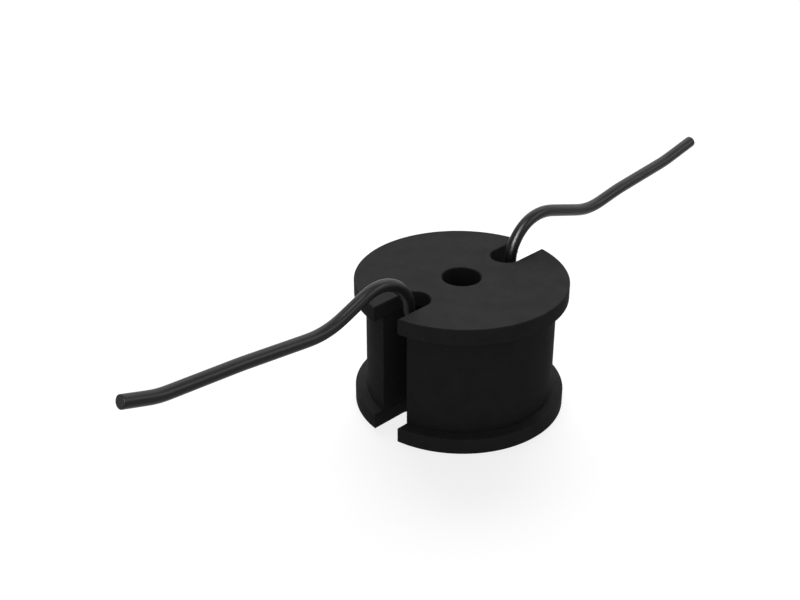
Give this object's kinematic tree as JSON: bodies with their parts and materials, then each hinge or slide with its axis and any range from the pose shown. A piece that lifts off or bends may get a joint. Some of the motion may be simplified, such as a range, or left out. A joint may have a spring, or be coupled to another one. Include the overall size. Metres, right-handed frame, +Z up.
{
  "type": "inductor",
  "caption": "Round shielded drum inductor with a centre mounting hole and two formed wire leads rising from opposite slots.",
  "frame": {"origin": "on the drum's axis, at its underside", "axes": "+Z up along the drum's axis, +X along the leads, through both slots"},
  "size_m": [0.1004, 0.027, 0.0227],
  "materials": {
    "ferrite": "matte sintered, dark charcoal",
    "shield": "matte sintered, dark charcoal",
    "wire": "dark enamelled copper, satin"
  },
  "bodies": {
    "root": {"drum_core": "ferrite", "front_shield_half": "shield", "rear_shield_half": "shield", "winding": "wire"}
  },
  "joints": []
}
